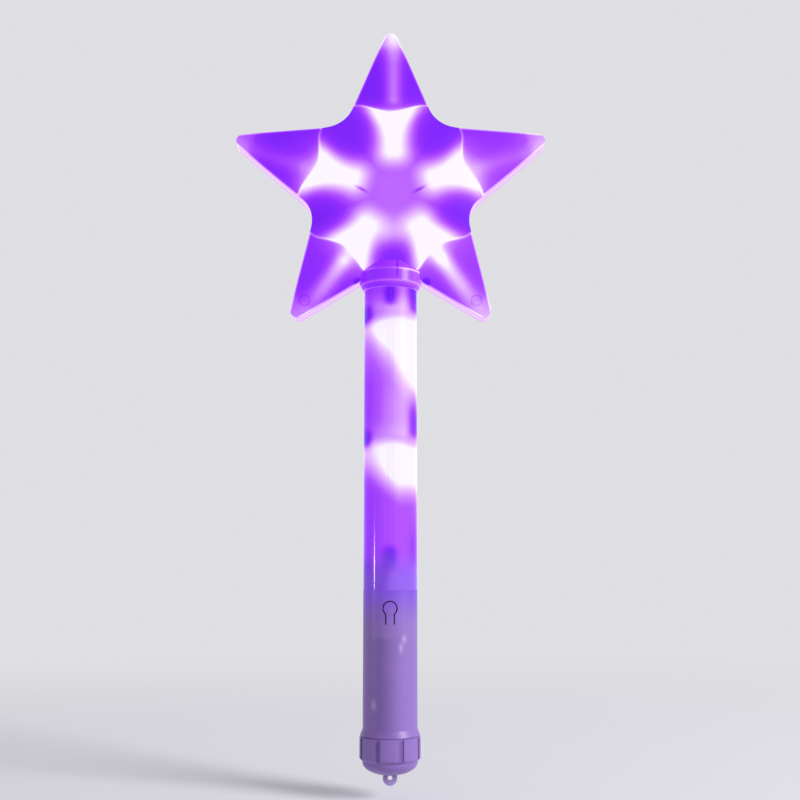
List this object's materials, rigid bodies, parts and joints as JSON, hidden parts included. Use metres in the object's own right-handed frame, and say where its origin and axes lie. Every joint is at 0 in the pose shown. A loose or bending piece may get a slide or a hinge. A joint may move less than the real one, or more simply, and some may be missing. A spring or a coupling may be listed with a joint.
{
  "type": "toy magic wand",
  "caption": "Light-up toy wand: hollow star head on a clear tube, battery handle with a tongue push button and a screw cap with strap loop.",
  "frame": {"origin": "on the wand's axis at the middle of the handle", "axes": "+Z along the wand towards the star, the star's face looks along -Y, +X to the right seen from the front"},
  "size_m": [0.1568, 0.03, 0.3733],
  "materials": {
    "star_plastic": "clear tinted shell, lit from inside",
    "star_board": "pale solder mask",
    "star_led": "clear LED lens, lit",
    "tinned_lead": "tinned wire",
    "screw": "dark plated steel",
    "tube_plastic": "clear tinted tube, lit from inside",
    "carrier_plastic": "moulded, fine matt",
    "tube_led": "clear LED lens, lit",
    "red_insulation": "smooth insulation",
    "black_insulation": "smooth insulation",
    "handle_plastic": "milky, satin",
    "circuit_board": "green solder mask",
    "switch_body": "moulded",
    "switch_plunger": "moulded",
    "chip": "moulded epoxy",
    "contact_metal": "stamped sheet",
    "battery_sleeve": "printed foil sleeve, plain",
    "spring_wire": "nickel plated wire",
    "rivet": "nickel plated",
    "cap_plastic": "milky, satin"
  },
  "bodies": {
    "wand": {"star_front_shell": "star_plastic", "star_back_shell": "star_plastic", "star_board": "star_board", "star_led_1": "star_led", "star_led_2": "star_led", "star_led_3": "star_led", "star_led_4": "star_led", "star_led_5": "star_led", "star_led_leads": "tinned_lead", "neck_screws": "screw", "light_tube": "tube_plastic", "led_carrier_1": "carrier_plastic", "led_carrier_2": "carrier_plastic", "led_carrier_3": "carrier_plastic", "tube_led_1": "tube_led", "tube_led_2": "tube_led", "tube_led_3": "tube_led", "tube_led_leads": "tinned_lead", "red_wire": "red_insulation", "black_wire": "black_insulation", "handle_shell": "handle_plastic", "switch_board": "circuit_board", "tact_body": "switch_body", "control_chip": "chip", "battery_head_board": "circuit_board", "battery_head_contacts": "contact_metal", "battery_leads": "red_insulation", "return_strip": "contact_metal", "battery_1": "battery_sleeve", "battery_2": "battery_sleeve", "battery_3": "battery_sleeve"},
    "button": {"button_tongue": "handle_plastic"},
    "plunger": {"tact_plunger": "switch_plunger"},
    "contact_disc": {"contact_disc": "circuit_board", "disc_contacts": "contact_metal", "battery_spring_1": "spring_wire", "battery_spring_2": "spring_wire", "battery_spring_3": "spring_wire"},
    "cap": {"battery_cap": "cap_plastic", "disc_rivet": "rivet"}
  },
  "joints": [
    {"name": "button_press", "type": "hinge", "parent": "wand", "child": "button", "pos_m": [0, -0.0113, 0.018], "axis": [-1, 0, 0], "range_deg": [0, 4], "stiffness_Nm_per_rad": 0.1},
    {"name": "plunger_travel", "type": "slide", "parent": "wand", "child": "plunger", "axis": [0, 1, 0], "range_m": [0, 0.00052]},
    {"name": "cap_draw", "type": "slide", "parent": "wand", "child": "contact_disc", "axis": [0, 0, -1], "range_m": [0, 0.006]},
    {"name": "cap_turn", "type": "hinge", "parent": "contact_disc", "child": "cap", "pos_m": [0, 0, -0.04], "axis": [0, 0, -1], "range_deg": [0, 720]}
  ],
  "couplings": [
    {"joint": "button_press", "follows": "plunger_travel", "rad_per_m": 133.33},
    {"joint": "cap_turn", "follows": "cap_draw", "rad_per_m": 2094.4}
  ]
}
